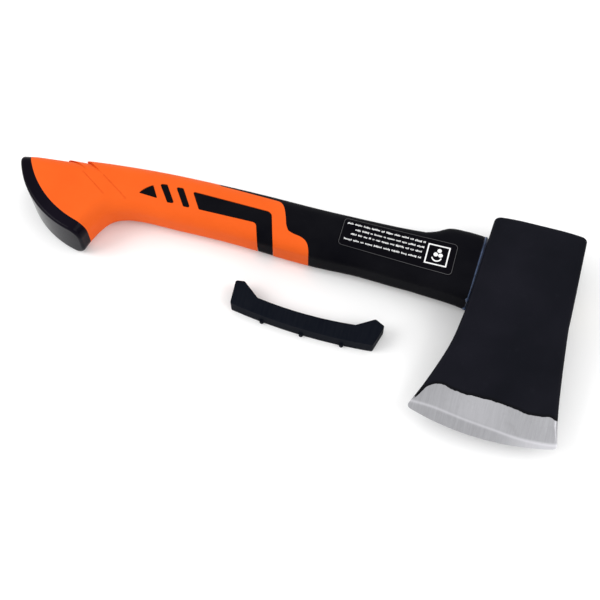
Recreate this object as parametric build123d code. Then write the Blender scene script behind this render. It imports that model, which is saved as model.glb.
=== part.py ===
from build123d import *
import math
import os

os.makedirs("parts", exist_ok=True)

# Frame: the axe lies on its side. X runs along the handle from pommel to head,
# Y runs from the cutting edge (-Y) to the poll (+Y), Z is up out of the cheek.
# All lengths are millimetres and all angles are degrees.

# ---- head ----
HEAD_THICK = 30.0
MID_Z = HEAD_THICK / 2
POLL_Y = 68.0
POLL_UNDER = (113.3, 66.7)
POLL_UNDER_MIDDLE = (123.2, 67.68)
POLL_FLAT = ((133.0, POLL_Y), (151.0, POLL_Y))
POLL_TOP_MIDDLE = (160.2, 67.68)
POLL_TOP = (169.4, 66.7)
UNDER_SHOULDER = (109.0, 3.0)
UNDER_BEARD = (105.5, -18.0)
UNDER_LOW = (97.5, -42.0)
TOP_SHOULDER = (168.9, 6.0)
TOP_WAIST = (170.8, -16.0)
TOP_LOW = (174.2, -46.0)
HEEL_X = 89.7
TOE_X = 177.1
EDGE_CENTRE = (136.5, 84.0)
EDGE_RADIUS = 152.0
EDGE_HALF = 0.2
BEVEL_WIDTH = 5.6
BEVEL_HALF = 1.6
CHEEK_START_RADIUS = 77.6
CHEEK_BEND_RADIUS = 78.0
POLL_CORNER_RADIUS = 3.0
HEEL_CORNER_RADIUS = 2.2
CHEEK_RIM_RADIUS = 2.0

# ---- eye, tang, core and resin ----
EYE_Y = 32.8
EYE_UNDER = (38.0, 17.0)
EYE_TOP = (41.0, 19.5)
EYE_CORNER = 7.5
TANG_SIZE = (34.5, 13.5)
TANG_CORNER = 5.5
TANG_END_X = 168.6
CORE_Y = 30.6
CORE_SIZE = (20.0, 9.5)
CORE_CORNER = 3.5
CORE_START_X = -104.0
CORE_END_X = 168.8
RESIN_START_X = 113.2
RESIN_END_X = 167.2
BEAD_INSET = 0.3

# ---- handle outline seen from above, and its width ----
BACK_LINE = [
    (-192.0, 26.6),
    (-170.0, 32.5),
    (-152.0, 36.6),
    (-140.0, 39.2),
    (-120.0, 42.1),
    (-92.0, 44.7),
    (-50.0, 46.2),
    (-20.0, 46.2),
    (5.0, 46.0),
    (36.0, 46.5),
    (56.0, 47.1),
    (74.0, 48.3),
]
BELLY_LINE = [
    (-130.4, -37.5),
    (-124.4, -12.9),
    (-120.0, -0.4),
    (-113.2, 9.0),
    (-99.9, 13.4),
    (-80.0, 14.0),
    (-40.0, 14.5),
    (10.0, 13.2),
    (24.0, 13.5),
    (38.0, 14.1),
    (56.0, 13.7),
    (74.0, 13.3),
]
HANDLE_SECTIONS = 25
POMMEL_WIDTH = 30.0
GRIP_WIDTH = 27.0
NECK_WIDTH = 26.0
GRIP_CORNER = 10.5
NECK_CORNER = 8.5
SHOULDER_BACK_X = (74.0, 110.1)
SHOULDER_BELLY_X = (74.0, 108.4)
SHOULDER_WIDTH = (26.0, 27.0)
SHOULDER_BACK = (48.3, 49.0, 50.05, 51.5, 53.4, 54.7, 55.2, 55.35, 55.4, 55.4, 55.3, 55.1, 54.8)
SHOULDER_BELLY = (13.3, 13.15, 13.0, 12.9, 12.8, 12.7, 12.6, 12.45, 12.25, 12.0, 11.7, 11.3, 10.8)
GRIP_SKIN = 2.5
LABEL_SKIN = 0.15
BUTT_CENTRE = (-118.4, 49.8)
BUTT_RADIUS = 64.1
BUTT_BACK_CORNER = 9.0
BUTT_BACK_ANGLE = 203.0
BUTT_RIM_RADIUS = 2.0
CAP_LINE_CENTRE = (-112.9, 58.2)
CAP_LINE_RADIUS = 66.2
PLUG_CENTRE = (-152.0, 11.5)
PLUG_ANGLE = 50.0
PLUG_SIZE = (22.0, 20.0, 12.0)
PLUG_GAP = 0.15

# ---- two small steps in the back of the grip, and a fine groove running down from each ----
# Each step turns the handle's form about a pivot on its back line, inside an outline.
STEP_ONE_PIVOT = (-169.0, 32.7)
STEP_ONE_TURN = -4.4
STEP_ONE = [
    (-151.7, 50.0),
    (-151.9, 36.6),
    (-147.0, 35.3),
    (-139.8, 32.3),
    (-132.0, 27.0),
    (-169.0, 27.0),
    (-169.0, 50.0),
]
STEP_TWO_PIVOT = (-152.0, 36.6)
STEP_TWO_TURN = -7.0
STEP_TWO = [
    (-139.8, 50.0),
    (-140.2, 39.0),
    (-136.5, 37.2),
    (-132.6, 34.3),
    (-121.4, 27.0),
    (-152.0, 27.0),
    (-152.0, 50.0),
]
GROOVES = [((-137.6, 28.0), (-119.8, 16.4)), ((-124.5, 29.0), (-106.0, 17.4))]
GROOVE_WIDTH = 0.6
GROOVE_DEPTH = 0.25

# ---- edge of the soft grip and the windows in it ----
GRIP_FRONT_BACK = [(-57.0, 60.0), (-57.0, 45.2), (-53.0, 42.5), (-17.0, 41.4)]
GRIP_FRONT_UPPER = [(-12.3, 39.2), (-9.6, 34.4), (-7.5, 28.7), (-4.6, 23.3)]
GRIP_FRONT_LOWER = [(-1.0, 22.0), (3.6, 21.2), (6.9, 19.7), (8.9, 17.8), (10.1, 15.6), (10.9, 12.6)]
ARROW_TIP = (-99.4, 23.0)
ARROW_SHOULDER = (-96.3, 27.6)
ARROW_TOP = (-92.6, 30.6)
ARROW_FOOT = (-87.3, 22.4)
BAR_ONE = [(-89.0, 32.6), (-84.5, 33.4), (-76.2, 21.8), (-80.6, 21.4)]
BAR_TWO = [(-78.8, 33.2), (-74.2, 33.6), (-66.0, 21.6), (-70.4, 21.4)]
BAND = [
    (-68.0, 33.0),
    (-17.6, 32.6),
    (-11.6, 14.0),
    (-11.6, 0.0),
    (-20.9, 0.0),
    (-20.9, 12.0),
    (-24.6, 22.8),
    (-60.6, 22.0),
]
BAND_OUTER_CORNER = 4.0
BAND_INNER_CORNER = 3.0
WINDOW_CORNER = 0.9
ISLAND_RECESS = 0.2
ISLAND_GAP = 0.3

# ---- label ----
LABEL_OUTLINE = [(25.8, 22.3), (25.9, 41.9), (96.4, 41.7), (96.5, 19.7)]
LABEL_CORNER = 2.4

# ---- blade guard ----
GUARD_THICK = 10.5
GUARD_WALL = 1.8
GUARD_SIDE_WALL = 1.6
GUARD_END_SHARE = 0.96
CHANNEL_TOP_LEFT = (-26.6, -2.0)
CHANNEL_TOP_RIGHT = (66.6, -2.0)
GUARD_SPINE = [(-27.2, -24.4), (17.8, -29.0), (62.2, -27.6)]
GUARD_EAR_LEFT = [(-28.3, -9.0), (-22.9, -8.2)]
GUARD_MOUTH = [(-12.2, -16.6), (16.0, -19.0), (49.0, -17.6)]
GUARD_EAR_RIGHT = [(59.6, -10.8), (65.9, -13.8)]
GUARD_NUB_SHARES = (0.23, 0.51, 0.79)
NUB_RADIUS = 1.3
NUB_LOW = 0.3
NUB_HEIGHT = 3.0
GUARD_CORNER_RADIUS = 1.5
GUARD_RIM_RADIUS = 0.6


def section_face(back, belly, width, corner, inset):
    """Rounded section standing on the line from back to belly, across the width."""
    along = Vector(back[0] - belly[0], back[1] - belly[1], 0)
    middle = ((back[0] + belly[0]) / 2, (back[1] + belly[1]) / 2, MID_Z)
    normal = along.cross(Vector(0, 0, 1))
    plane = Plane(origin=middle, x_dir=along, z_dir=normal)
    depth = along.length - 2 * inset
    wide = width - 2 * inset
    return plane * RectangleRounded(depth, wide, corner - inset)


def handle_width(share):
    """Width and corner radius at a share (0 to 1) of the way from pommel to neck."""
    flare = math.exp(-((share / 0.16) ** 2))
    slim = 0.5 - 0.5 * math.cos(math.pi * min(1.0, max(0.0, (share - 0.45) / 0.25)))
    width = GRIP_WIDTH + (POMMEL_WIDTH - GRIP_WIDTH) * flare - (GRIP_WIDTH - NECK_WIDTH) * slim
    corner = GRIP_CORNER - 2.0 * flare - (GRIP_CORNER - NECK_CORNER) * slim
    return width, corner


def shoulder_station(index):
    """Back point, belly point and width of one evenly spaced section of the shoulder."""
    share = index / (len(SHOULDER_BACK) - 1)
    back_x = SHOULDER_BACK_X[0] + (SHOULDER_BACK_X[1] - SHOULDER_BACK_X[0]) * share
    belly_x = SHOULDER_BELLY_X[0] + (SHOULDER_BELLY_X[1] - SHOULDER_BELLY_X[0]) * share
    width = SHOULDER_WIDTH[0] + (SHOULDER_WIDTH[1] - SHOULDER_WIDTH[0]) * min(1.0, 2 * share)
    return (back_x, SHOULDER_BACK[index]), (belly_x, SHOULDER_BELLY[index]), width


def handle_form(inset):
    """Handle outer form, moved inwards by the inset."""
    back_curve = Spline(*BACK_LINE)
    belly_curve = Spline(*BELLY_LINE)
    faces = []
    for index in range(HANDLE_SECTIONS):
        share = index / (HANDLE_SECTIONS - 1)
        back = back_curve @ share
        belly = belly_curve @ share
        width, corner = handle_width(share)
        faces.append(section_face((back.X, back.Y), (belly.X, belly.Y), width, corner, inset))
    shoulder = []
    for index in range(len(SHOULDER_BACK)):
        back, belly, width = shoulder_station(index)
        shoulder.append(section_face(back, belly, width, NECK_CORNER, inset))
    return loft(faces) + loft(shoulder)


def prism(points, low, high):
    """Straight-sided block over a closed outline, between two heights."""
    outline = make_face(Polyline(*points, close=True))
    return Pos(0, 0, low) * extrude(outline, high - low)


def bar_along_x(centre_y, size, corner, start_x, end_x):
    """Rounded bar that runs along X at the middle height."""
    plane = Plane(origin=(start_x, centre_y, MID_Z), x_dir=(0, 1, 0), z_dir=(1, 0, 0))
    return extrude(plane * RectangleRounded(size[0], size[1], corner), end_x - start_x)


def edge_point(x):
    """Point on the cutting edge arc at a given X."""
    drop = math.sqrt(EDGE_RADIUS**2 - (x - EDGE_CENTRE[0]) ** 2)
    return (x, EDGE_CENTRE[1] - drop)


# ---------------------------------------------------------------- axe head
heel = edge_point(HEEL_X)
toe = edge_point(TOE_X)
edge_middle = edge_point(EDGE_CENTRE[0])
head_outline = make_face(
    [
        ThreePointArc(POLL_TOP, POLL_TOP_MIDDLE, POLL_FLAT[1]),
        Line(POLL_FLAT[1], POLL_FLAT[0]),
        ThreePointArc(POLL_FLAT[0], POLL_UNDER_MIDDLE, POLL_UNDER),
        Line(POLL_UNDER, UNDER_SHOULDER),
        Spline(UNDER_SHOULDER, UNDER_BEARD, UNDER_LOW, heel, tangents=[(-0.066, -1), (-0.36, -1)]),
        ThreePointArc(heel, edge_middle, toe),
        Spline(toe, TOP_LOW, TOP_WAIST, TOP_SHOULDER, tangents=[(-0.18, 1), (0, 1)]),
        Line(TOP_SHOULDER, POLL_TOP),
    ]
)
poll_corners = head_outline.vertices().filter_by(lambda v: abs(v.Y - POLL_TOP[1]) < 0.01)
head_outline = fillet(poll_corners, POLL_CORNER_RADIUS)
edge_corners = head_outline.vertices().filter_by(lambda v: v.Y < -58)
head_outline = fillet(edge_corners, HEEL_CORNER_RADIUS)
head_block = extrude(head_outline, HEAD_THICK)
rim_edges = head_block.edges().filter_by(lambda e: abs(e.center().Z - MID_Z) > MID_Z - 0.01)
rim_edges = rim_edges.filter_by(lambda e: e.center().Y > -50)
head_block = fillet(rim_edges, CHEEK_RIM_RADIUS)

wedge_profile = make_face(
    Polyline(
        (0, MID_Z),
        (CHEEK_START_RADIUS, MID_Z),
        (EDGE_RADIUS - BEVEL_WIDTH, BEVEL_HALF),
        (EDGE_RADIUS, EDGE_HALF),
        (EDGE_RADIUS, -EDGE_HALF),
        (EDGE_RADIUS - BEVEL_WIDTH, -BEVEL_HALF),
        (CHEEK_START_RADIUS, -MID_Z),
        (0, -MID_Z),
        close=True,
    )
)
bends = wedge_profile.vertices().filter_by(lambda v: abs(v.X - CHEEK_START_RADIUS) < 0.01)
wedge_profile = fillet(bends, CHEEK_BEND_RADIUS)
wedge = revolve(Plane.XZ * wedge_profile, Axis.Z, 360)
head_block = head_block & (Pos(EDGE_CENTRE[0], EDGE_CENTRE[1], MID_Z) * wedge)

eye_under_plane = Plane(origin=(104, EYE_Y, MID_Z), x_dir=(0, 1, 0), z_dir=(1, 0, 0))
eye_top_plane = Plane(origin=(172, EYE_Y, MID_Z), x_dir=(0, 1, 0), z_dir=(1, 0, 0))
eye = loft(
    [
        eye_under_plane * RectangleRounded(EYE_UNDER[0], EYE_UNDER[1], EYE_CORNER),
        eye_top_plane * RectangleRounded(EYE_TOP[0], EYE_TOP[1], EYE_CORNER),
    ]
)
axe_head = head_block - eye

# ---------------------------------------------------------------- handle form
envelope = handle_form(0)
butt_turn = math.radians(BUTT_BACK_ANGLE)
butt_side = (math.cos(butt_turn), math.sin(butt_turn))
butt_start = (BUTT_CENTRE[0] + BUTT_RADIUS * butt_side[0], BUTT_CENTRE[1] + BUTT_RADIUS * butt_side[1])
corner_centre = (
    butt_start[0] - BUTT_BACK_CORNER * butt_side[0],
    butt_start[1] - BUTT_BACK_CORNER * butt_side[1],
)
corner_end = (corner_centre[0], corner_centre[1] + BUTT_BACK_CORNER)
corner_middle = (
    corner_centre[0] + BUTT_BACK_CORNER * math.cos((butt_turn + math.pi / 2) / 2),
    corner_centre[1] + BUTT_BACK_CORNER * math.sin((butt_turn + math.pi / 2) / 2),
)
butt_low = (BUTT_CENTRE[0], BUTT_CENTRE[1] - BUTT_RADIUS)
low_turn = (butt_turn + math.radians(270)) / 2
butt_middle = (
    BUTT_CENTRE[0] + BUTT_RADIUS * math.cos(low_turn),
    BUTT_CENTRE[1] + BUTT_RADIUS * math.sin(low_turn),
)
butt_zone = make_face(
    [
        ThreePointArc(corner_end, corner_middle, butt_start),
        ThreePointArc(butt_start, butt_middle, butt_low),
        Line(butt_low, (150, butt_low[1])),
        Line((150, butt_low[1]), (150, 80)),
        Line((150, 80), (corner_end[0], 80)),
        Line((corner_end[0], 80), corner_end),
    ]
)
envelope = envelope & (Pos(0, 0, -5) * extrude(butt_zone, HEAD_THICK + 10))
butt_edges = envelope.edges().filter_by(
    lambda e: e.center().X < -118 and math.dist((e.center().X, e.center().Y), BUTT_CENTRE) > BUTT_RADIUS - 6
)
envelope = fillet(butt_edges, BUTT_RIM_RADIUS)
for pivot, angle, outline in (
    (STEP_TWO_PIVOT, STEP_TWO_TURN, STEP_TWO),
    (STEP_ONE_PIVOT, STEP_ONE_TURN, STEP_ONE),
):
    turned = Pos(pivot[0], pivot[1], 0) * Rot(0, 0, angle) * Pos(-pivot[0], -pivot[1], 0) * handle_form(0)
    envelope = envelope - (prism(outline, -5, HEAD_THICK + 5) - turned)
groove_floor = handle_form(GROOVE_DEPTH)
for start, end in GROOVES:
    middle = ((start[0] + end[0]) / 2, (start[1] + end[1]) / 2)
    slope = math.degrees(math.atan2(end[1] - start[1], end[0] - start[0]))
    strip = Pos(middle[0], middle[1], MID_Z) * Rot(0, 0, slope) * Box(
        math.dist(start, end), GROOVE_WIDTH, HEAD_THICK + 10
    )
    envelope = envelope - (strip - groove_floor)
inner = handle_form(GRIP_SKIN)

# ---------------------------------------------------------------- core bar and tang
core = bar_along_x(CORE_Y, CORE_SIZE, CORE_CORNER, CORE_START_X, CORE_END_X)
tang = bar_along_x(EYE_Y, TANG_SIZE, TANG_CORNER, 100, TANG_END_X)
eye_fill_place = Pos((RESIN_START_X + RESIN_END_X) / 2, EYE_Y, MID_Z)
eye_fill_zone = eye_fill_place * Box(RESIN_END_X - RESIN_START_X, 80, 40)
eye_resin = (eye & eye_fill_zone) - tang

# ---------------------------------------------------------------- butt cap
cap_line = Pos(CAP_LINE_CENTRE[0], CAP_LINE_CENTRE[1], MID_Z) * Cylinder(CAP_LINE_RADIUS, 2 * HEAD_THICK)
ahead_of_cap = Pos(CAP_LINE_CENTRE[0] + 150, 20, MID_Z) * Box(300, 200, 2 * HEAD_THICK)
body_zone = cap_line + ahead_of_cap
butt_region = envelope - body_zone
plug_place = Pos(PLUG_CENTRE[0], PLUG_CENTRE[1], MID_Z) * Rot(0, 0, PLUG_ANGLE)
plug = plug_place * Box(PLUG_SIZE[0], PLUG_SIZE[1], PLUG_SIZE[2])
plug_pocket = plug_place * Box(
    PLUG_SIZE[0] + 2 * PLUG_GAP,
    PLUG_SIZE[1] + 2 * PLUG_GAP,
    PLUG_SIZE[2] + 2 * PLUG_GAP,
)
butt_cap = butt_region + plug

# ---------------------------------------------------------------- grip
front = (
    Polyline(*GRIP_FRONT_BACK)
    + Spline(GRIP_FRONT_BACK[-1], *GRIP_FRONT_UPPER, tangents=[(1, 0), (0.7, -1)])
    + Spline(GRIP_FRONT_UPPER[-1], *GRIP_FRONT_LOWER, tangents=[(1, -0.5), (0.1, -1)])
    + Polyline(GRIP_FRONT_LOWER[-1], (11.4, -20), (-200, -40), (-200, 60), GRIP_FRONT_BACK[0])
)
grip_zone = extrude(make_face(front), HEAD_THICK + 10) & body_zone
grip_zone = Pos(0, 0, -5) * grip_zone
arrow_face = make_face(
    [
        ThreePointArc(ARROW_TIP, ARROW_SHOULDER, ARROW_TOP),
        Line(ARROW_TOP, ARROW_FOOT),
        Line(ARROW_FOOT, ARROW_TIP),
    ]
)
band_face = make_face(Polyline(*BAND, close=True))
turn = band_face.vertices().filter_by(lambda v: math.dist((v.X, v.Y), BAND[1]) < 0.1)
band_face = fillet(turn, BAND_OUTER_CORNER)
turn = band_face.vertices().filter_by(lambda v: math.dist((v.X, v.Y), BAND[6]) < 0.1)
band_face = fillet(turn, BAND_INNER_CORNER)
ends = band_face.vertices().filter_by(lambda v: v.X < -60)
band_face = fillet(ends, WINDOW_CORNER)
window_faces = [fillet(arrow_face.vertices(), WINDOW_CORNER / 2), band_face]
for outline in (BAR_ONE, BAR_TWO):
    bar_face = make_face(Polyline(*outline, close=True))
    window_faces.append(fillet(bar_face.vertices(), WINDOW_CORNER))
windows = []
island_zones = []
for face in window_faces:
    windows.append(Pos(0, 0, -5) * extrude(face, HEAD_THICK + 10))
    island_zones.append(Pos(0, 0, -5) * extrude(offset(face, -ISLAND_GAP), HEAD_THICK + 10))
grip = (envelope - inner) & grip_zone
for window in windows:
    grip = grip - window

# ---------------------------------------------------------------- jacket
island_form = handle_form(ISLAND_RECESS)
islands = [(island_form & zone) for zone in island_zones]
jacket = (envelope - butt_region) - grip_zone - plug_pocket
jacket = jacket + ((inner & body_zone) - plug_pocket)
for island in islands:
    jacket = jacket + island
jacket = jacket + tang
jacket = jacket - core

# ---------------------------------------------------------------- shoulder resin
shoulder_back, shoulder_belly, shoulder_width = shoulder_station(len(SHOULDER_BACK) - 1)
under_slope = (POLL_UNDER[0] - UNDER_SHOULDER[0]) / (POLL_UNDER[1] - UNDER_SHOULDER[1])
under_back_x = UNDER_SHOULDER[0] + under_slope * (shoulder_back[1] - UNDER_SHOULDER[1])
under_belly_x = UNDER_SHOULDER[0] + under_slope * (shoulder_belly[1] - UNDER_SHOULDER[1])
bead_gap = prism(
    [
        shoulder_belly,
        shoulder_back,
        (under_back_x, shoulder_back[1]),
        (under_belly_x, shoulder_belly[1]),
    ],
    0,
    HEAD_THICK,
)
bead_middle_y = (shoulder_back[1] + shoulder_belly[1]) / 2
bead_depth = shoulder_back[1] - shoulder_belly[1] - 2 * BEAD_INSET
bead_size = (bead_depth, shoulder_width - 2 * BEAD_INSET)
bead_bar = bar_along_x(bead_middle_y, bead_size, NECK_CORNER, 100, 120)
shoulder_resin = (bead_bar & bead_gap) - tang

# ---------------------------------------------------------------- label
label_skin = handle_form(-LABEL_SKIN)
label_face = make_face(Polyline(*LABEL_OUTLINE, close=True))
label_face = fillet(label_face.vertices(), LABEL_CORNER)
label_plate = Pos(0, 0, MID_Z) * extrude(label_face, HEAD_THICK)
label = (label_skin & label_plate) - envelope

# ---------------------------------------------------------------- guard
guard_outline = make_face(
    [
        Spline(*GUARD_SPINE),
        Line(GUARD_SPINE[-1], GUARD_EAR_RIGHT[1]),
        Line(GUARD_EAR_RIGHT[1], GUARD_EAR_RIGHT[0]),
        Line(GUARD_EAR_RIGHT[0], GUARD_MOUTH[-1]),
        Spline(*reversed(GUARD_MOUTH)),
        Line(GUARD_MOUTH[0], GUARD_EAR_LEFT[1]),
        Line(GUARD_EAR_LEFT[1], GUARD_EAR_LEFT[0]),
        Line(GUARD_EAR_LEFT[0], GUARD_SPINE[0]),
    ]
)
guard = extrude(guard_outline, GUARD_THICK)
upright = guard.edges().filter_by(Axis.Z)
guard = fillet(upright, GUARD_CORNER_RADIUS)
rims = guard.edges().filter_by(lambda e: abs(e.center().Z - GUARD_THICK / 2) > GUARD_THICK / 2 - 0.01)
guard = fillet(rims, GUARD_RIM_RADIUS)
channel_floor = []
for x, y in GUARD_SPINE:
    channel_floor.append((GUARD_SPINE[1][0] + (x - GUARD_SPINE[1][0]) * GUARD_END_SHARE, y + GUARD_WALL))
channel_outline = make_face(
    [
        Spline(*channel_floor),
        Line(channel_floor[-1], CHANNEL_TOP_RIGHT),
        Line(CHANNEL_TOP_RIGHT, CHANNEL_TOP_LEFT),
        Line(CHANNEL_TOP_LEFT, channel_floor[0]),
    ]
)
channel = Pos(0, 0, GUARD_SIDE_WALL) * extrude(channel_outline, GUARD_THICK - 2 * GUARD_SIDE_WALL)
guard = guard - channel
spine_curve = Spline(*GUARD_SPINE)
for share in GUARD_NUB_SHARES:
    on_spine = spine_curve @ share
    nub = Pos(on_spine.X, on_spine.Y, NUB_LOW + NUB_HEIGHT / 2) * Cylinder(NUB_RADIUS, NUB_HEIGHT)
    guard = guard + nub

# ---------------------------------------------------------------- output
pieces = {
    "axe_head": axe_head,
    "core_bar": core,
    "eye_resin": eye_resin,
    "shoulder_resin": shoulder_resin,
    "handle_jacket": jacket,
    "grip_overmould": grip,
    "butt_cap": butt_cap,
    "safety_label": label,
    "blade_guard": guard,
}
boxes = [piece.bounding_box() for piece in pieces.values()]
middle_x = (min(box.min.X for box in boxes) + max(box.max.X for box in boxes)) / 2
middle_y = (min(box.min.Y for box in boxes) + max(box.max.Y for box in boxes)) / 2
lowest_z = min(box.min.Z for box in boxes)
print("moved by", -middle_x, -middle_y, -lowest_z)
for name, piece in pieces.items():
    print(name, piece.is_valid, round(piece.volume), len(piece.solids()))
    export_step(Pos(-middle_x, -middle_y, -lowest_z) * piece, "parts/" + name + ".step")
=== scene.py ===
import math
import random

import bmesh
import bpy
import numpy as np
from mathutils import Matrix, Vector, noise
from mathutils.bvhtree import BVHTree


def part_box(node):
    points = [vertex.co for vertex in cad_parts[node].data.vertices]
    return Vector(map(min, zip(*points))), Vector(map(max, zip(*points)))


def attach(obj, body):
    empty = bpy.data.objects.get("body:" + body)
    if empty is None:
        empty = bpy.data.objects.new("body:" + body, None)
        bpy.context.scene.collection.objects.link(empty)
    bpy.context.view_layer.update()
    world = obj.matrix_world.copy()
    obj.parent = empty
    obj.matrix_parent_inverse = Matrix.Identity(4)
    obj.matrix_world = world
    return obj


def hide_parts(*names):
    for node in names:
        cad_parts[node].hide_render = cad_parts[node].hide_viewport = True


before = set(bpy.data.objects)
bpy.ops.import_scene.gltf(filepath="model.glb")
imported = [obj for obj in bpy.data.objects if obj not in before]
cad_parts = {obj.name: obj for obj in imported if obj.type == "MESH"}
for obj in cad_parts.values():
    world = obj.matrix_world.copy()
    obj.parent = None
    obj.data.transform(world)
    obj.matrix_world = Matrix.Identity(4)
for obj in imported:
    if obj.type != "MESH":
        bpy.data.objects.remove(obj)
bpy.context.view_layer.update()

MM = 0.001
MID_Z = 15.0

# All shapes below are in the part's own millimetres: X along the handle from pommel to head,
# Y from the cutting edge to the poll, Z up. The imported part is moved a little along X, and
# SHIFT_X is that move, found from the head's own box.
HEAD_RIGHT_X = 176.774
SHIFT_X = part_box("axe_head")[1].x / MM - HEAD_RIGHT_X

# ---- camera, aimed at a point on the floor ----
AIM = Vector((11.41 + SHIFT_X, -6.57, 0.0)) * MM
AZIMUTH = math.radians(16.0)
ELEVATION = math.radians(65.0)
DISTANCE = 661.73 * MM
LENS = 65.0
SENSOR_WIDTH = 36.0


def make_camera():
    data = bpy.data.cameras.new("camera")
    data.lens = LENS
    data.sensor_width = SENSOR_WIDTH
    data.clip_start = 0.01
    data.clip_end = 20.0
    camera = bpy.data.objects.new("camera", data)
    back = Vector((
        math.sin(AZIMUTH) * math.cos(ELEVATION),
        -math.cos(AZIMUTH) * math.cos(ELEVATION),
        math.sin(ELEVATION),
    ))
    camera.location = AIM + back * DISTANCE
    camera.rotation_euler = (-back).to_track_quat("-Z", "Y").to_euler()
    bpy.context.scene.collection.objects.link(camera)
    bpy.context.scene.camera = camera


make_camera()
bpy.context.scene.view_settings.view_transform = "Standard"


# ---------------------------------------------------------------- mesh helpers
def make_object(name, points, faces, smooth=True):
    """Mesh object from points in part millimetres."""
    mesh = bpy.data.meshes.new(name)
    moved = [((x + SHIFT_X) * MM, y * MM, z * MM) for x, y, z in points]
    mesh.from_pydata(moved, [], faces)
    mesh.validate()
    mesh.update()
    obj = bpy.data.objects.new(name, mesh)
    bpy.context.scene.collection.objects.link(obj)
    if smooth:
        for poly in mesh.polygons:
            poly.use_smooth = True
    return obj


def float_attribute(obj, name, values):
    attribute = obj.data.attributes.new(name, "FLOAT", "POINT")
    attribute.data.foreach_set("value", np.asarray(values, np.float32))


def apply_modifiers(obj):
    graph = bpy.context.evaluated_depsgraph_get()
    mesh = bpy.data.meshes.new_from_object(obj.evaluated_get(graph))
    obj.modifiers.clear()
    old = obj.data
    obj.data = mesh
    bpy.data.meshes.remove(old)


def through(xs, ys, x):
    """Smooth curve through the given points (xs rising), as a cubic with finite-difference slopes."""
    xs = np.asarray(xs, float)
    ys = np.asarray(ys, float)
    slopes = np.gradient(ys, xs)
    i = int(np.clip(np.searchsorted(xs, x) - 1, 0, len(xs) - 2))
    span = xs[i + 1] - xs[i]
    t = min(max((x - xs[i]) / span, 0.0), 1.0)
    a = (2 * t**3 - 3 * t**2 + 1) * ys[i] + (t**3 - 2 * t**2 + t) * span * slopes[i]
    b = (3 * t**2 - 2 * t**3) * ys[i + 1] + (t**3 - t**2) * span * slopes[i + 1]
    return a + b


def smoothstep(low, high, x):
    t = min(max((x - low) / (high - low), 0.0), 1.0)
    return t * t * (3 - 2 * t)


def wobble(x, y, z, size):
    """Seeded smooth noise, about -1 to 1, with features of the given size in millimetres."""
    return noise.noise(Vector((x / size + 3.7, y / size - 1.9, z / size + 8.3)))


# ---------------------------------------------------------------- node helpers
class Look:
    """A node material with a Principled shader and short ways to add nodes to it."""

    def __init__(self, name):
        self.mat = bpy.data.materials.new(name)
        self.mat.use_nodes = True
        self.tree = self.mat.node_tree
        self.bsdf = self.tree.nodes["Principled BSDF"]
        coords = self.tree.nodes.new("ShaderNodeTexCoord")
        self.place = coords.outputs["Object"]

    def put(self, socket, value):
        if hasattr(value, "is_linked"):
            self.tree.links.new(value, socket)
        else:
            socket.default_value = value

    def set(self, name, value):
        self.put(self.bsdf.inputs[name], value)

    def stretch(self, sx, sy, sz, turn=0.0):
        node = self.tree.nodes.new("ShaderNodeMapping")
        node.inputs["Scale"].default_value = (sx, sy, sz)
        node.inputs["Rotation"].default_value = (0, 0, turn)
        self.tree.links.new(self.place, node.inputs["Vector"])
        return node.outputs["Vector"]

    def noise(self, per_metre, detail=4.0, rough=0.55, vector=None):
        node = self.tree.nodes.new("ShaderNodeTexNoise")
        node.inputs["Scale"].default_value = per_metre
        node.inputs["Detail"].default_value = detail
        node.inputs["Roughness"].default_value = rough
        self.tree.links.new(vector or self.place, node.inputs["Vector"])
        return node.outputs["Fac"]

    def cells(self, per_metre):
        node = self.tree.nodes.new("ShaderNodeTexVoronoi")
        node.inputs["Scale"].default_value = per_metre
        self.tree.links.new(self.place, node.inputs["Vector"])
        return node.outputs["Distance"]

    def ramp(self, value, *stops):
        node = self.tree.nodes.new("ShaderNodeValToRGB")
        ramp = node.color_ramp
        while len(ramp.elements) < len(stops):
            ramp.elements.new(0.5)
        for element, (place, colour) in zip(ramp.elements, stops):
            element.position = place
            if not isinstance(colour, tuple):
                colour = (colour, colour, colour)
            element.color = (*colour, 1)
        self.tree.links.new(value, node.inputs["Fac"])
        return node.outputs["Color"]

    def mix(self, factor, a, b):
        node = self.tree.nodes.new("ShaderNodeMix")
        node.data_type = "RGBA"
        self.put(node.inputs[0], factor)
        for socket, value in ((node.inputs[6], a), (node.inputs[7], b)):
            if isinstance(value, tuple):
                value = (*value, 1)
            self.put(socket, value)
        return node.outputs[2]

    def math(self, kind, a, b, c=None):
        node = self.tree.nodes.new("ShaderNodeMath")
        node.operation = kind
        self.put(node.inputs[0], a)
        self.put(node.inputs[1], b)
        if c is not None:
            self.put(node.inputs[2], c)
        return node.outputs[0]

    def between(self, value, low, high):
        """Value moved from 0..1 to low..high."""
        return self.math("MULTIPLY_ADD", value, high - low, low)

    def attribute(self, name):
        node = self.tree.nodes.new("ShaderNodeAttribute")
        node.attribute_name = name
        return node.outputs["Fac"]

    def bump(self, *layers):
        """Each layer is (height, depth in millimetres)."""
        normal = None
        for height, depth in layers:
            node = self.tree.nodes.new("ShaderNodeBump")
            node.inputs["Strength"].default_value = 1.0
            node.inputs["Distance"].default_value = depth * MM
            self.tree.links.new(height, node.inputs["Height"])
            if normal is not None:
                self.tree.links.new(normal, node.inputs["Normal"])
            normal = node.outputs["Normal"]
        self.tree.links.new(normal, self.bsdf.inputs["Normal"])


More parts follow.
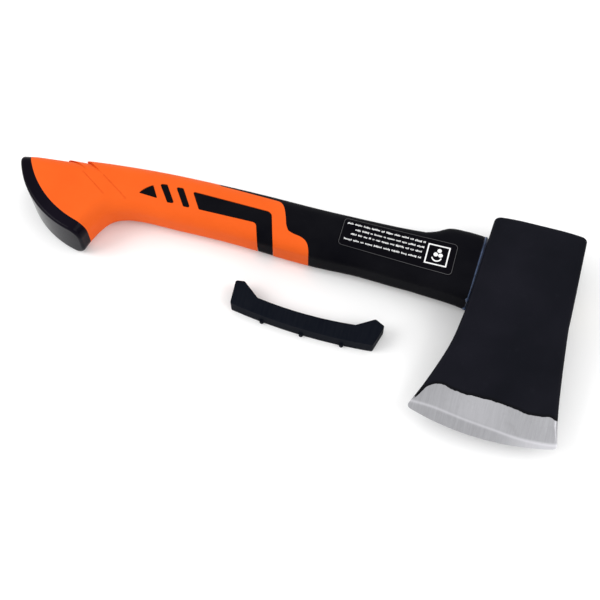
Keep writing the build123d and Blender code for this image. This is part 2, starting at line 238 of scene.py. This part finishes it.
# ---------------------------------------------------------------- materials
def head_look():
    """Black paint, with ground steel where "bare_mm" is above zero; the second attribute brightens the
    steel with the bevel's polish plus a painted highlight line and painted sheen.
    """
    look = Look("head_paint_and_steel")
    rag = look.noise(900, 5, 0.65)
    fine_rag = look.noise(2600, 3, 0.6)
    ragged = look.math("MULTIPLY_ADD", rag, 0.9, -0.45)
    ragged = look.math("MULTIPLY_ADD", fine_rag, 0.4, ragged)
    edge_of_paint = look.math("ADD", look.attribute("bare_mm"), ragged)
    bare = look.ramp(edge_of_paint, (0.22, 0.0), (0.36, 1.0))
    peel = look.noise(700, 4, 0.6)
    specks = look.ramp(look.cells(420), (0.04, 1.0), (0.09, 0.0))
    dust = look.ramp(look.noise(150, 6, 0.7), (0.58, 0.0), (0.8, 1.0))
    cloud = look.noise(26, 3, 0.5)
    paint = look.ramp(cloud, (0.3, (0.0022, 0.0026, 0.0052)), (0.7, (0.0056, 0.0056, 0.0096)))
    paint = look.mix(look.math("MULTIPLY", dust, 0.3), paint, (0.012, 0.013, 0.018))
    paint = look.mix(look.math("MULTIPLY", specks, 0.15), paint, (0.05, 0.05, 0.06))
    # Painted shade: the paint darkens to near black within about two millimetres of the bare steel, a dark
    # line along the paint's edge.
    painted_shade_near_steel = look.ramp(look.math("MULTIPLY_ADD", edge_of_paint, 0.5, 1.0), (0.0, 0.0), (0.9, 0.8))
    paint = look.mix(painted_shade_near_steel, paint, (0.0008, 0.0008, 0.0012))
    lines = look.noise(1.0, 5, 0.7, look.stretch(5200, 130, 400, math.radians(2)))
    lines_wide = look.noise(1.0, 3, 0.6, look.stretch(900, 45, 200, math.radians(-3)))
    grain = look.math("MULTIPLY_ADD", lines, 0.6, look.math("MULTIPLY", lines_wide, 0.4))
    steel = look.ramp(
        grain,
        (0.3, (0.305, 0.305, 0.32)),
        (0.5, (0.355, 0.355, 0.372)),
        (0.7, (0.42, 0.42, 0.44)),
    )
    # Steel brightened by the bevel's real polish plus a painted highlight line and painted sheen.
    polish_and_highlight = look.ramp(look.attribute("polish_and_highlight"), (0.0, 0.0), (1.0, 1.0))
    steel = look.mix(polish_and_highlight, steel, (0.66, 0.655, 0.69))
    stain = look.ramp(look.noise(210, 5, 0.6), (0.55, 0.0), (0.78, 1.0))
    steel = look.mix(look.math("MULTIPLY", stain, 0.2), steel, (0.24, 0.235, 0.235))
    look.set("Base Color", look.mix(bare, paint, steel))
    look.set("Metallic", bare)
    look.bsdf.inputs["Specular IOR Level"].default_value = 0.06
    paint_rough = look.between(look.noise(90, 5, 0.6), 0.38, 0.6)
    steel_rough = look.between(grain, 0.32, 0.5)
    rough = look.math("MULTIPLY", bare, look.math("SUBTRACT", steel_rough, paint_rough))
    look.set("Roughness", look.math("ADD", rough, paint_rough))
    step = look.math("SUBTRACT", 1.0, bare)
    scratch = look.math("MULTIPLY", bare, grain)
    look.bump((step, 0.05), (peel, 0.012), (scratch, 0.02))
    return look.mat


def black_plastic(name, low, high, rough, specular, grain=900.0, grain_depth=0.02):
    """Black moulding: colour drifts from low to high, roughness within rough; grain is per metre."""
    look = Look(name)
    broad = look.noise(38, 4, 0.55)
    fine = look.noise(grain, 3, 0.6)
    scuff = look.ramp(look.noise(1.0, 6, 0.7, look.stretch(60, 420, 300, 0.4)), (0.62, 0.0), (0.85, 1.0))
    colour = look.ramp(broad, (0.3, low), (0.7, high))
    scuffed = tuple(2.5 * c + 0.006 for c in high)
    colour = look.mix(look.math("MULTIPLY", scuff, 0.2), colour, scuffed)
    look.set("Base Color", colour)
    look.bsdf.inputs["Specular IOR Level"].default_value = specular
    look.set("Roughness", look.between(look.noise(120, 5, 0.6), *rough))
    look.bump((fine, grain_depth), (look.noise(140, 4, 0.5), 0.03))
    return look.mat


def guard_look():
    """Black moulding with faint flow streaks across its length."""
    look = Look("moulded_guard")
    streaks = look.noise(1.0, 4, 0.6, look.stretch(850, 60, 200, math.radians(4)))
    cloud = look.noise(70, 4, 0.6)
    shade = look.math("MULTIPLY_ADD", streaks, 0.6, look.math("MULTIPLY", cloud, 0.4))
    colour = look.ramp(shade, (0.36, (0.0038, 0.0048, 0.0084)), (0.64, (0.0064, 0.0076, 0.0112)))
    look.set("Base Color", colour)
    look.bsdf.inputs["Specular IOR Level"].default_value = 0.01
    look.set("Roughness", look.between(cloud, 0.4, 0.56))
    look.bump((streaks, 0.02), (look.noise(1100, 3, 0.6), 0.02))
    return look.mat


def grip_look():
    look = Look("orange_soft_grip")
    broad = look.noise(22, 4, 0.55)
    mottle = look.noise(240, 5, 0.65)
    fine = look.noise(2400, 2, 0.5)
    pore = look.cells(1300)
    colour = look.ramp(
        broad,
        (0.25, (0.66, 0.082, 0.0055)),
        (0.5, (0.69, 0.092, 0.007)),
        (0.75, (0.72, 0.102, 0.009)),
    )
    colour = look.mix(look.math("MULTIPLY", mottle, 0.1), colour, (0.8, 0.15, 0.03))
    look.set("Base Color", colour)
    look.set("Roughness", look.between(mottle, 0.5, 0.72))
    look.bsdf.inputs["Specular IOR Level"].default_value = 0.1
    look.bump((pore, 0.015), (fine, 0.012), (mottle, 0.03))
    return look.mat


def resin_look(name, low, high):
    look = Look(name)
    cloud = look.noise(300, 5, 0.6)
    colour = look.ramp(cloud, (0.3, low), (0.7, high))
    look.set("Base Color", colour)
    look.set("Roughness", look.between(cloud, 0.12, 0.35))
    look.bsdf.inputs["Specular IOR Level"].default_value = 0.15
    look.bsdf.inputs["Coat Weight"].default_value = 0.1
    look.bsdf.inputs["Coat Roughness"].default_value = 0.1
    look.bump((look.noise(500, 3, 0.5), 0.08))
    return look.mat


def fibreglass_look():
    look = Look("fibreglass_bar")
    strands = look.noise(1.0, 4, 0.6, look.stretch(200, 2600, 2600))
    colour = look.ramp(strands, (0.3, (0.42, 0.34, 0.16)), (0.7, (0.72, 0.64, 0.42)))
    look.set("Base Color", colour)
    look.set("Roughness", look.between(strands, 0.35, 0.65))
    look.bump((strands, 0.04))
    return look.mat


def floor_look():
    look = Look("pale_floor")
    cloud = look.noise(3, 3, 0.5)
    look.set("Base Color", look.ramp(cloud, (0.3, 0.9), (0.7, 0.92)))
    look.set("Roughness", look.between(cloud, 0.7, 0.8))
    look.bsdf.inputs["Specular IOR Level"].default_value = 0.2
    return look.mat


def print_look():
    look = Look("white_print")
    wear = look.noise(700, 5, 0.65)
    look.set("Base Color", look.ramp(wear, (0.3, 0.62), (0.6, 0.82)))
    look.set("Roughness", look.between(wear, 0.4, 0.6))
    look.bump((wear, 0.01))
    return look.mat


LOOKS = {
    "head": head_look(),
    "jacket": black_plastic(
        "satin_black_jacket", (0.0028, 0.0028, 0.0042), (0.0052, 0.0052, 0.0068), (0.32, 0.46), 0.009
    ),
    "cap": black_plastic(
        "gloss_black_cap", (0.0026, 0.0018, 0.0045), (0.0042, 0.003, 0.007), (0.08, 0.2), 0.042, 500, 0.004
    ),
    "guard": guard_look(),
    "label": black_plastic(
        "label_film", (0.0022, 0.002, 0.0034), (0.0032, 0.003, 0.0044), (0.24, 0.34), 0.014, 300, 0.006
    ),
    "grip": grip_look(),
    "resin": resin_look("cured_resin", (0.014, 0.022, 0.045), (0.055, 0.08, 0.145)),
    "deep_resin": resin_look("deep_resin", (0.002, 0.0035, 0.01), (0.008, 0.013, 0.032)),
    "fibreglass": fibreglass_look(),
    "print": print_look(),
    "grey_print": black_plastic("grey_print", (0.05, 0.05, 0.052), (0.075, 0.075, 0.077), (0.4, 0.5), 0.1),
}
NODE_LOOKS = {
    "core_bar": "fibreglass",
    "eye_resin": "deep_resin",
    "shoulder_resin": "deep_resin",
    "handle_jacket": "jacket",
    "grip_overmould": "grip",
    "butt_cap": "cap",
    "safety_label": "label",
    "blade_guard": "guard",
}
for node_name, look_name in NODE_LOOKS.items():
    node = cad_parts[node_name]
    node.data.materials.clear()
    node.data.materials.append(LOOKS[look_name])


def finish_piece(obj, look_name, body, slot, *replaced):
    """Gives a piece its material, its body and the CAD nodes that it replaces; its slot argument is not
    used.
    """
    obj.data.materials.clear()
    obj.data.materials.append(LOOKS[look_name])
    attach(obj, body)
    if replaced:
        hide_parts(*replaced)


# ---------------------------------------------------------------- head
EDGE_X = 136.5
EDGE_Y = 84.0
EDGE_RADIUS = 152.0
EDGE_HALF = 0.2
CHEEK_RADIUS = 77.6
CHEEK_BEND_RADIUS = 78.0
CHEEK_SLOPE = 0.19477
POLL_Y = 67.95
POLL_FLAT = (133.0, 151.0)
POLL_CROWN_RADIUS = 140.0
POLL_CORNER = 3.0
EDGE_CORNER = 2.4
PAINT = 0.12
RIM = 2.0
UNDER_YS = (-60.6, -42.0, -18.0, 3.0)
UNDER_XS = (89.75, 97.55, 105.55, 109.05)
TOP_YS = (-62.4, -46.0, -16.0, 6.0)
TOP_XS = (177.05, 174.15, 170.75, 168.9)
UNDER_LEAN = 4.3 / 63.7
TOP_LEAN = 0.5 / 60.7
# Width of the bare ground band, and of the bevel along the edge, at some X from heel to toe.
BAND_XS = (
    88.0, 92.5, 95.5, 98.0, 101.0, 105.0, 112.0, 120.0, 130.0,
    139.0, 152.0, 158.0, 165.0, 169.5, 172.5, 174.5, 177.0,
)
BAND_WIDTHS = (
    3.5, 5.5, 10.0, 14.8, 18.0, 20.3, 20.6, 20.9, 21.9,
    21.8, 19.6, 18.2, 17.8, 17.6, 15.6, 12.6, 8.0,
)
BEVEL_XS = (88.0, 92.5, 100.0, 107.0, 115.0, 122.0, 130.0, 137.0, 144.0, 151.0, 158.5, 165.0, 172.0, 177.0)
BEVEL_WIDTHS = (3.0, 4.3, 6.2, 7.2, 7.5, 7.4, 7.2, 6.8, 6.0, 5.0, 4.0, 3.3, 2.6, 2.4)
BEND_HALF = 7.5
BEVEL_STEP = 0.267
HOLLOW_GRIND = 0.22


def under_x(y):
    """X of the head's under side, the side the handle enters, at a given Y."""
    if y >= UNDER_YS[-1]:
        return UNDER_XS[-1] + (y - UNDER_YS[-1]) * UNDER_LEAN
    return through(UNDER_YS, UNDER_XS, y)


def top_x(y):
    """X of the head's top side at a given Y."""
    if y >= TOP_YS[-1]:
        return TOP_XS[-1] + (y - TOP_YS[-1]) * TOP_LEAN
    return through(TOP_YS, TOP_XS, y)


def head_half(x, y, side):
    """Half thickness of the head without its rim rounding, how far inside bare steel, and how much the
    steel is brightened by polish and by painted highlight.
    """
    r = math.hypot(x - EDGE_X, y - EDGE_Y)
    from_edge = EDGE_RADIUS - r
    bend_start = CHEEK_RADIUS - BEND_HALF
    if r < bend_start:
        half = MID_Z
    elif r < CHEEK_RADIUS + BEND_HALF:
        half = MID_Z - (r - bend_start) ** 2 / (2 * CHEEK_BEND_RADIUS)
    else:
        half = MID_Z - (r - CHEEK_RADIUS) * CHEEK_SLOPE
    width = through(BAND_XS, BAND_WIDTHS, x)
    bevel = through(BEVEL_XS, BEVEL_WIDTHS, x) + 0.12 * wobble(x, 0, side * 9, 11)
    if from_edge < width:
        share = from_edge / width
        half -= HOLLOW_GRIND * math.sin(math.pi * share) ** 1.5
    bevel_slope = (BEVEL_STEP + CHEEK_SLOPE * bevel - EDGE_HALF) / bevel
    half = min(half, EDGE_HALF + max(from_edge, 0.0) * bevel_slope)
    bare_mm = width + 0.35 * wobble(x, side * 5, 0, 6.0) + 0.15 * wobble(x, side * 7, 0, 1.6) - from_edge
    painted = smoothstep(0.5, -0.5, bare_mm)
    half += PAINT * (painted - 1.0)
    half += painted * (0.05 * wobble(x, y, side * 20, 17) + 0.02 * wobble(x, y, side * 30, 5) - 0.05)
    # The bevel brightens towards the toe, partly real polish and partly painted reflection. A painted
    # highlight line runs along the top of the bevel, and a painted sheen brightens the ground band mid-way
    # along.
    bevel_polish_and_reflection = 0.02 + 0.5 * smoothstep(138.0, 170.0, x)
    painted_highlight_line = 0.6 * math.exp(-(((from_edge - bevel) / 0.7) ** 2))
    painted_sheen = 0.27 * math.exp(-(((x - 128.0) / 22.0) ** 2)) * smoothstep(0.0, 2.0, from_edge - bevel)
    polish_and_highlight = bevel_polish_and_reflection * smoothstep(0.0, 0.6, bevel - from_edge) + painted_highlight_line + painted_sheen
    return half, bare_mm, polish_and_highlight


def build_head():
    """Head as closed loops from poll to edge, each over the upper face, down a side and back under."""
    rows = []
    y = POLL_Y - RIM
    while y > -18.0:
        rows.append(y)
        y -= 1.0 if y < POLL_Y - POLL_CORNER else 0.4
    while y > EDGE_Y - EDGE_RADIUS:
        rows.append(y)
        y -= 0.45
    rows.append(EDGE_Y - EDGE_RADIUS + 0.001)
    columns = 120
    rim_steps = 5
    wall_steps = 6
    points = []
    bare = []
    polish_and_highlight_values = []

    def add_point(x, y, z, bare_mm, polish_and_highlight):
        points.append((x, y, z))
        bare.append(bare_mm)
        polish_and_highlight_values.append(polish_and_highlight)

    def row_y(centre_y, x):
        """A row is straight at mid-head, crowned like the poll above and curved like the edge below."""
        bend = smoothstep(20.0, -30.0, centre_y)
        arc_r = EDGE_Y - centre_y
        arc = EDGE_Y - math.sqrt(max(arc_r**2 - (x - EDGE_X) ** 2, 0.0))
        beside = max(POLL_FLAT[0] - x, x - POLL_FLAT[1], 0.0)
        crown = beside**2 / (2 * POLL_CROWN_RADIUS) * smoothstep(35.0, 66.0, centre_y)
        return centre_y * (1 - bend) + arc * bend - crown

    def corner_inset(centre_y):
        """How far the head's four plan corners draw its side walls in."""
        from_poll = POLL_Y - centre_y
        from_edge = centre_y + EDGE_RADIUS - EDGE_Y
        for away, radius in ((from_poll, POLL_CORNER), (from_edge, EDGE_CORNER)):
            if away < radius:
                return radius - math.sqrt(max(radius**2 - (radius - away) ** 2, 0.0))
        return 0.0

    def side_x(centre_y, outline):
        """X where a row meets one side of the head."""
        x = outline(centre_y)
        for _ in range(12):
            x = outline(row_y(centre_y, x))
        return x

    def add_loop(centre_y, squash):
        """One loop of points; squash thins it where the poll's rim is rounded."""
        inset = corner_inset(centre_y)
        left = side_x(centre_y, under_x) + inset
        right = side_x(centre_y, top_x) - inset
        middle_half, _, _ = head_half((left + right) / 2, row_y(centre_y, (left + right) / 2), 1)
        rim = min(RIM, 0.75 * middle_half)
        for side in (1, -1):
            for i in range(columns + 1):
                share = i / columns
                if side < 0:
                    share = 1 - share
                x = left + rim + (right - left - 2 * rim) * share
                yy = row_y(centre_y, x)
                half, bare_mm, polish_and_highlight = head_half(x, yy, side)
                add_point(x, yy, MID_Z + side * (half - squash), bare_mm, polish_and_highlight)
            corner_x = right - rim if side > 0 else left + rim
            outward = 1 if side > 0 else -1
            yy = row_y(centre_y, corner_x)
            half, bare_mm, polish_and_highlight = head_half(corner_x, yy, side)
            half -= squash
            other, _, _ = head_half(corner_x, yy, -side)
            other -= squash
            for i in range(1, rim_steps + 1):
                angle = math.pi / 2 * i / rim_steps
                x = corner_x + outward * rim * math.sin(angle)
                z = side * (half - rim * (1 - math.cos(angle)))
                add_point(x, row_y(centre_y, x), MID_Z + z, bare_mm, polish_and_highlight)
            for i in range(1, wall_steps):
                share = i / wall_steps
                x = corner_x + outward * rim
                z = side * ((half - rim) * (1 - share) - (other - rim) * share)
                add_point(x, row_y(centre_y, x), MID_Z + z, bare_mm, polish_and_highlight)
            for i in range(rim_steps, 0, -1):
                angle = math.pi / 2 * i / rim_steps
                x = corner_x + outward * rim * math.sin(angle)
                z = side * (other - rim * (1 - math.cos(angle)))
                add_point(x, row_y(centre_y, x), MID_Z - z, bare_mm, polish_and_highlight)

    poll_steps = 6
    for i in range(poll_steps):
        angle = math.pi / 2 * (1 - i / poll_steps)
        add_loop(POLL_Y - RIM + RIM * math.sin(angle), RIM * (1 - math.cos(angle)))
    for y in rows:
        add_loop(y, 0.0)
    size = 2 * (columns + 1 + 2 * rim_steps + wall_steps - 1)
    loops = len(points) // size
    faces = []
    for j in range(loops - 1):
        for i in range(size):
            k = (i + 1) % size
            faces.append((j * size + i, (j + 1) * size + i, (j + 1) * size + k, j * size + k))
    between = 2 * rim_steps + wall_steps - 1
    mirror = 2 * columns + between + 1

    def close_loop(first, flip):
        """Closes a loop with strips from its upper half to its lower half."""
        for i in range((mirror - size) // 2, mirror // 2):
            corners = []
            for k in (i, i + 1, mirror - i - 1, mirror - i):
                if first + k % size not in corners:
                    corners.append(first + k % size)
            faces.append(tuple(reversed(corners)) if flip else tuple(corners))

    close_loop(0, False)
    close_loop((loops - 1) * size, True)
    obj = make_object("head_forging", points, faces)
    float_attribute(obj, "bare_mm", bare)
    float_attribute(obj, "polish_and_highlight", polish_and_highlight_values)
    return obj


# ---------------------------------------------------------------- eye
EYE_Y = 32.8
EYE_CORNER = 7.5
EYE_UNDER = (38.0, 17.0)
EYE_GROWTH = (3.0, 2.5)
EYE_START_X = 104.0
EYE_LENGTH = 68.0
EYE_STATIONS = ((99.0, 0.0), (168.7, 0.0), (170.2, 1.2))
EYE_INSIDE = -60.0


def rounded_loop(depth, width, corner, steps):
    """Points (y, z) round a rounded rectangle centred on zero."""
    loop = []
    for quarter in range(4):
        turn = math.pi / 2 * quarter
        cy = (depth / 2 - corner) * (1 if quarter in (0, 3) else -1)
        cz = (width / 2 - corner) * (1 if quarter in (0, 1) else -1)
        for i in range(steps + 1):
            angle = turn + math.pi / 2 * i / steps
            loop.append((cy + corner * math.cos(angle), cz + corner * math.sin(angle)))
    return loop


def cut_eye(target):
    """Cuts the tapered eye through the head, with a small chamfer at its top."""
    points = []
    faces = []
    for x, flare in EYE_STATIONS:
        along = (x - EYE_START_X) / EYE_LENGTH
        depth = EYE_UNDER[0] + EYE_GROWTH[0] * along + 2 * flare
        width = EYE_UNDER[1] + EYE_GROWTH[1] * along + 2 * flare
        for y, z in rounded_loop(depth, width, EYE_CORNER + flare, 10):
            points.append((x, EYE_Y + y, MID_Z + z))
    size = len(points) // len(EYE_STATIONS)
    for j in range(len(EYE_STATIONS) - 1):
        for i in range(size):
            k = (i + 1) % size
            faces.append((j * size + i, j * size + k, (j + 1) * size + k, (j + 1) * size + i))
    faces.append(tuple(range(size - 1, -1, -1)))
    faces.append(tuple(range(len(points) - size, len(points))))
    cutter = make_object("eye_cutter", points, faces, smooth=False)
    cut = target.modifiers.new("eye", "BOOLEAN")
    cut.operation = "DIFFERENCE"
    cut.solver = "EXACT"
    cut.object = cutter
    apply_modifiers(target)
    bpy.data.objects.remove(cutter)
    bare = target.data.attributes["bare_mm"]
    for vertex, value in zip(target.data.vertices, bare.data):
        if vertex.co.y > 0.0:
            value.value = EYE_INSIDE


def shade_by_angle(obj, angle):
    """Smooths the edges gentler than the angle, so that shading breaks only at sharper ones."""
    mesh = obj.data
    work = bmesh.new()
    work.from_mesh(mesh)
    for edge in work.edges:
        edge.smooth = edge.calc_face_angle(0.0) < angle
    work.to_mesh(mesh)
    work.free()


head = build_head()
cut_eye(head)
shade_by_angle(head, math.radians(32))
finish_piece(head, "head", "axe", "head_paint", "axe_head")


# ---------------------------------------------------------------- squeezed-out resin bead
BEAD_MIDDLE_Y = 32.8
BEAD_DEPTH = 43.8
BEAD_WIDTH = 26.8
BEAD_CORNER = 8.5
SEAM_X = 108.9
SEAM_LEAN = 2.1


def build_bead():
    """A lumpy closed bead where the handle enters the head, with a blob at each belly corner."""
    around = 10
    spacing = 0.8
    loop = rounded_loop(BEAD_DEPTH, BEAD_WIDTH, BEAD_CORNER, 14)
    dense = []
    for i, (y0, z0) in enumerate(loop):
        y1, z1 = loop[(i + 1) % len(loop)]
        length = math.hypot(y1 - y0, z1 - z0)
        count = max(1, int(length / spacing))
        for k in range(count):
            if length > 1e-6:
                dense.append((y0 + (y1 - y0) * k / count, z0 + (z1 - z0) * k / count))
    points = []
    faces = []
    total = len(dense)
    for i, (y, z) in enumerate(dense):
        y_next, z_next = dense[(i + 1) % total]
        y_last, z_last = dense[i - 1]
        ty, tz = y_next - y_last, z_next - z_last
        length = math.hypot(ty, tz)
        out_y, out_z = tz / length, -ty / length
        if out_y * y + out_z * z < 0:
            out_y, out_z = -out_y, -out_z
        share = y / BEAD_DEPTH + 0.5
        seam_x = SEAM_X + SEAM_LEAN * share
        blob = 1.05 * math.exp(-(((abs(z) - 6.3) / 2.1) ** 2)) * smoothstep(0.12, 0.05, share)
        radius = 0.2 + 0.2 * smoothstep(1.5, 5.0, abs(z)) + 0.08 * smoothstep(0.1, 0.5, share)
        radius += 0.4 * smoothstep(0.8, 1.0, share) + blob
        radius *= 1.0 + 0.25 * wobble(0, y, z, 3.2) + 0.12 * wobble(5, y, z, 1.3)
        for k in range(around):
            angle = 2 * math.pi * k / around
            lift = radius * 0.62 * math.sin(angle) - 0.2
            x = seam_x + radius * 0.95 * math.cos(angle)
            points.append((x, BEAD_MIDDLE_Y + y + out_y * lift, MID_Z + z + out_z * lift))
    for i in range(total):
        j = (i + 1) % total
        for k in range(around):
            m = (k + 1) % around
            faces.append((i * around + k, i * around + m, j * around + m, j * around + k))
    return make_object("resin_bead", points, faces)


finish_piece(build_bead(), "resin", "axe", "resin")


# ---------------------------------------------------------------- printing on the label
PRINT_LIFT = 0.03
PATCH_SPACING = 1.5
RING_STEPS = 40
RAY_START_Z = 60.0
LABEL_FACE_Z = MID_Z + 13.0
label_surface = BVHTree.FromObject(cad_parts["safety_label"], bpy.context.evaluated_depsgraph_get())


def on_label(x, y):
    """Height in millimetres of the label's face at a point, or None beside the label."""
    start = Vector(((x + SHIFT_X) * MM, y * MM, RAY_START_Z * MM))
    hit = label_surface.ray_cast(start, Vector((0, 0, -1)))
    return None if hit[0] is None else hit[0].z / MM


def printed(name, shapes, look_name):
    """Thin printed patches: each shape is a grid of (x, y) points that follows the label's face."""
    points = []
    faces = []
    for grid in shapes:
        rows = len(grid)
        cols = len(grid[0])
        first = len(points)
        for layer in (PRINT_LIFT, -PRINT_LIFT):
            for row in grid:
                for x, y in row:
                    points.append((x, y, (on_label(x, y) or LABEL_FACE_Z) + layer))
        below = rows * cols
        for j in range(rows - 1):
            for i in range(cols - 1):
                a = first + j * cols + i
                faces.append((a, a + 1, a + cols + 1, a + cols))
                faces.append((a + below, a + below + cols, a + below + cols + 1, a + below + 1))
        rim = [first + i for i in range(cols)]
        rim += [first + j * cols + cols - 1 for j in range(1, rows)]
        rim += [first + (rows - 1) * cols + i for i in range(cols - 2, -1, -1)]
        rim += [first + j * cols for j in range(rows - 2, 0, -1)]
        for i, a in enumerate(rim):
            b = rim[(i + 1) % len(rim)]
            faces.append((b, a, a + below, b + below))
    obj = make_object(name, points, faces, smooth=False)
    work = bmesh.new()
    work.from_mesh(obj.data)
    bmesh.ops.recalc_face_normals(work, faces=work.faces)
    work.to_mesh(obj.data)
    work.free()
    finish_piece(obj, look_name, "axe", "label_film")


def patch(x0, x1, y0, y1, rows=3):
    """Grid of points over a rectangle of print."""
    cols = max(2, int((x1 - x0) / PATCH_SPACING) + 2)
    grid = []
    for j in range(rows):
        y = y0 + (y1 - y0) * j / (rows - 1)
        grid.append([(x0 + (x1 - x0) * i / (cols - 1), y) for i in range(cols)])
    return grid


def ring(centre, outer, inner, start=0.0, end=360.0):
    """Grid of points over a ring or part of one, between two angles in degrees."""
    grid = []
    for radius in (outer, inner):
        row = []
        for i in range(RING_STEPS + 1):
            angle = math.radians(start + (end - start) * i / RING_STEPS)
            row.append((centre[0] + radius * math.cos(angle), centre[1] + radius * math.sin(angle)))
        grid.append(row)
    return grid


# Start and height of each line of small print, then the strokes and gaps that its words are made of.
LINES = ((28.7, 38.1), (34.3, 34.6), (32.3, 31.3), (29.0, 27.3))
LINE_END = 76.8
LINE_SLOPE = -0.006
WORD_STROKES = (2, 3, 4, 5, 6, 7)
STROKE_WIDTHS = (0.36, 0.55)
STROKE_TOPS = (0.4, 0.4, 0.72)
STROKE_FEET = (0.4, 0.4, 0.4, 0.65)
STROKE_GAP = 0.26
WORD_GAP = 0.85
SIGN = (85.3, 31.3)
SIGN_HALF = 6.75
SIGN_LINE = 0.8
SIGN_DISCS = ((0.7, 3.1, 1.3), (-1.0, 0.3, 1.35), (1.9, 0.2, 1.35))
DISC_HOLE = 0.05
ARC_CENTRE = (-0.1, -1.2)
ARC_RADII = (3.2, 2.4)
ARC_DEGREES = (195, 350)


def small_print():
    """Unreadable marks in lines, where the photo has words."""
    marks = random.Random(41)
    shapes = []
    for start, y in LINES:
        x = start
        while x < LINE_END - 1.0:
            for _ in range(marks.choice(WORD_STROKES)):
                if x > LINE_END - 0.5:
                    break
                width = marks.uniform(*STROKE_WIDTHS)
                top = marks.choice(STROKE_TOPS)
                foot = marks.choice(STROKE_FEET)
                middle = y + LINE_SLOPE * (x - start)
                shapes.append(patch(x, x + width, middle - foot, middle + top, 2))
                x += width + STROKE_GAP
            x += WORD_GAP
    return shapes


def framed_sign():
    """A generic sign: a square frame round three discs and an arc."""
    low_x, high_x = SIGN[0] - SIGN_HALF, SIGN[0] + SIGN_HALF
    low_y, high_y = SIGN[1] - SIGN_HALF, SIGN[1] + SIGN_HALF
    inner_low_y, inner_high_y = low_y + SIGN_LINE, high_y - SIGN_LINE
    shapes = [
        patch(low_x, high_x, low_y, inner_low_y),
        patch(low_x, high_x, inner_high_y, high_y),
        patch(low_x, low_x + SIGN_LINE, inner_low_y, inner_high_y, 10),
        patch(high_x - SIGN_LINE, high_x, inner_low_y, inner_high_y, 10),
    ]
    for disc_x, disc_y, disc_radius in SIGN_DISCS:
        shapes.append(ring((SIGN[0] + disc_x, SIGN[1] + disc_y), disc_radius, DISC_HOLE))
    shapes.append(ring((SIGN[0] + ARC_CENTRE[0], SIGN[1] + ARC_CENTRE[1]), *ARC_RADII, *ARC_DEGREES))
    return shapes


printed("label_print", small_print() + framed_sign(), "print")

LABEL_CENTRE = (61.15, 31.4)
LABEL_HALF = (34.85, 9.95)
LABEL_DROP = 0.7
LABEL_TAPER = 0.06
LABEL_CORNER = 2.4
BORDER_LINE = 0.28
BORDER_SPACING = 1.2


def label_outline():
    """A thin closed line just inside the label's edge."""
    loops = []
    for grow in (0.0, -BORDER_LINE):
        row = []
        for quarter in range(4):
            cx = (LABEL_HALF[0] - LABEL_CORNER) * (1 if quarter in (0, 3) else -1)
            cy = (LABEL_HALF[1] - LABEL_CORNER) * (1 if quarter in (0, 1) else -1)
            for i in range(9):
                angle = math.pi / 2 * (quarter + i / 8)
                radius = LABEL_CORNER + grow
                x, y = cx + radius * math.cos(angle), cy + radius * math.sin(angle)
                along = x / LABEL_HALF[0]
                y = y * (1 + LABEL_TAPER * along) - LABEL_DROP * along
                row.append((LABEL_CENTRE[0] + x, LABEL_CENTRE[1] + y))
        row.append(row[0])
        dense = []
        for (x0, y0), (x1, y1) in zip(row, row[1:]):
            count = max(1, int(math.hypot(x1 - x0, y1 - y0) / BORDER_SPACING))
            dense.extend((x0 + (x1 - x0) * k / count, y0 + (y1 - y0) * k / count) for k in range(count))
        dense.append(row[0])
        loops.append(dense)
    shortest = min(len(loop) for loop in loops)
    return [loop[:shortest - 1] + [loop[-1]] for loop in loops]


printed("label_border", [label_outline()], "grey_print")


# ---------------------------------------------------------------- floor, light and world
FLOOR_SIZE = 6.0
WORLD_STRENGTH = 0.95

bpy.ops.mesh.primitive_plane_add(size=FLOOR_SIZE)
floor = bpy.context.active_object
floor.name = "floor"
floor.data.materials.append(floor_look())


def area_light(name, place, size, power):
    """Square softbox that faces the origin."""
    data = bpy.data.lights.new(name, "AREA")
    data.size = size
    data.energy = power
    obj = bpy.data.objects.new(name, data)
    obj.location = place
    obj.rotation_euler = (-Vector(place)).to_track_quat("-Z", "Y").to_euler()
    bpy.context.scene.collection.objects.link(obj)


area_light("left_softbox", (-1.0, -0.35, 0.85), 0.8, 9)
area_light("right_softbox", (1.0, -0.1, 0.9), 0.8, 5)
area_light("back_softbox", (-0.1, 1.3, 0.5), 0.7, 2.5)
world = bpy.data.worlds.new("world")
world.use_nodes = True
world.node_tree.nodes["Background"].inputs["Color"].default_value = (1, 1, 1, 1)
world.node_tree.nodes["Background"].inputs["Strength"].default_value = WORLD_STRENGTH
bpy.context.scene.world = world
